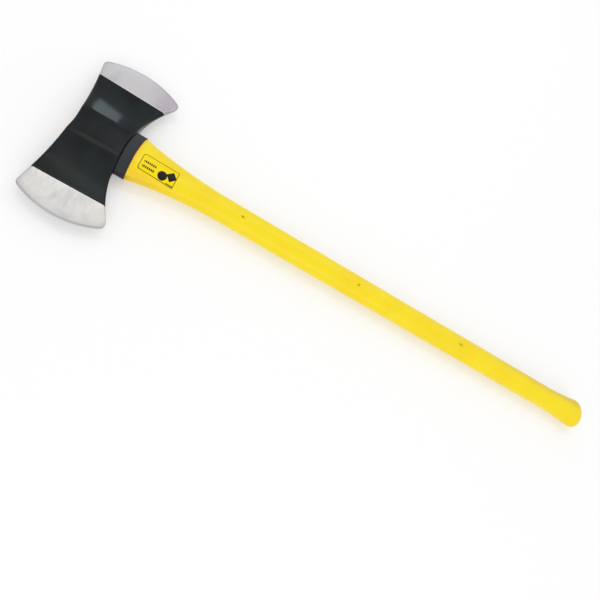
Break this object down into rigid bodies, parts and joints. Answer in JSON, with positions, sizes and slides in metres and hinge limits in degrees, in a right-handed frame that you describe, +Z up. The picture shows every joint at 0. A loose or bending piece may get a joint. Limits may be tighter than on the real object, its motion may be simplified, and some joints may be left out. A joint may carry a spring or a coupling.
{
  "type": "double-bit axe",
  "caption": "Two-edged felling-pattern axe with a lacquered forged head and a long moulded glass-fibre handle ending in an oval knob, lying flat.",
  "frame": {"origin": "on the resting face, under the middle of the eye, where the handle's axis crosses the line between the two bits", "axes": "+X along the handle from the head to the knob, +Y from one cutting edge to the other, +Z up out of the upper cheek"},
  "size_m": [0.9039, 0.254, 0.032],
  "materials": {
    "head_steel": "black lacquer on forged steel, with ground and honed bits left bare",
    "glass_fibre": "pultruded glass fibre in amber resin",
    "black_nylon": "moulded",
    "epoxy": "cast",
    "seal_rubber": "foam",
    "collar_rubber": "fine moulded grain",
    "yellow_plastic": "satin moulded polypropylene",
    "label_film": "printed film"
  },
  "bodies": {
    "root": {"axe_head": "head_steel", "core_rod": "glass_fibre", "tenon_sleeve": "black_nylon", "epoxy_bond": "epoxy", "eye_seal": "seal_rubber", "collar": "collar_rubber", "handle_jacket": "yellow_plastic", "label": "label_film"}
  },
  "joints": []
}
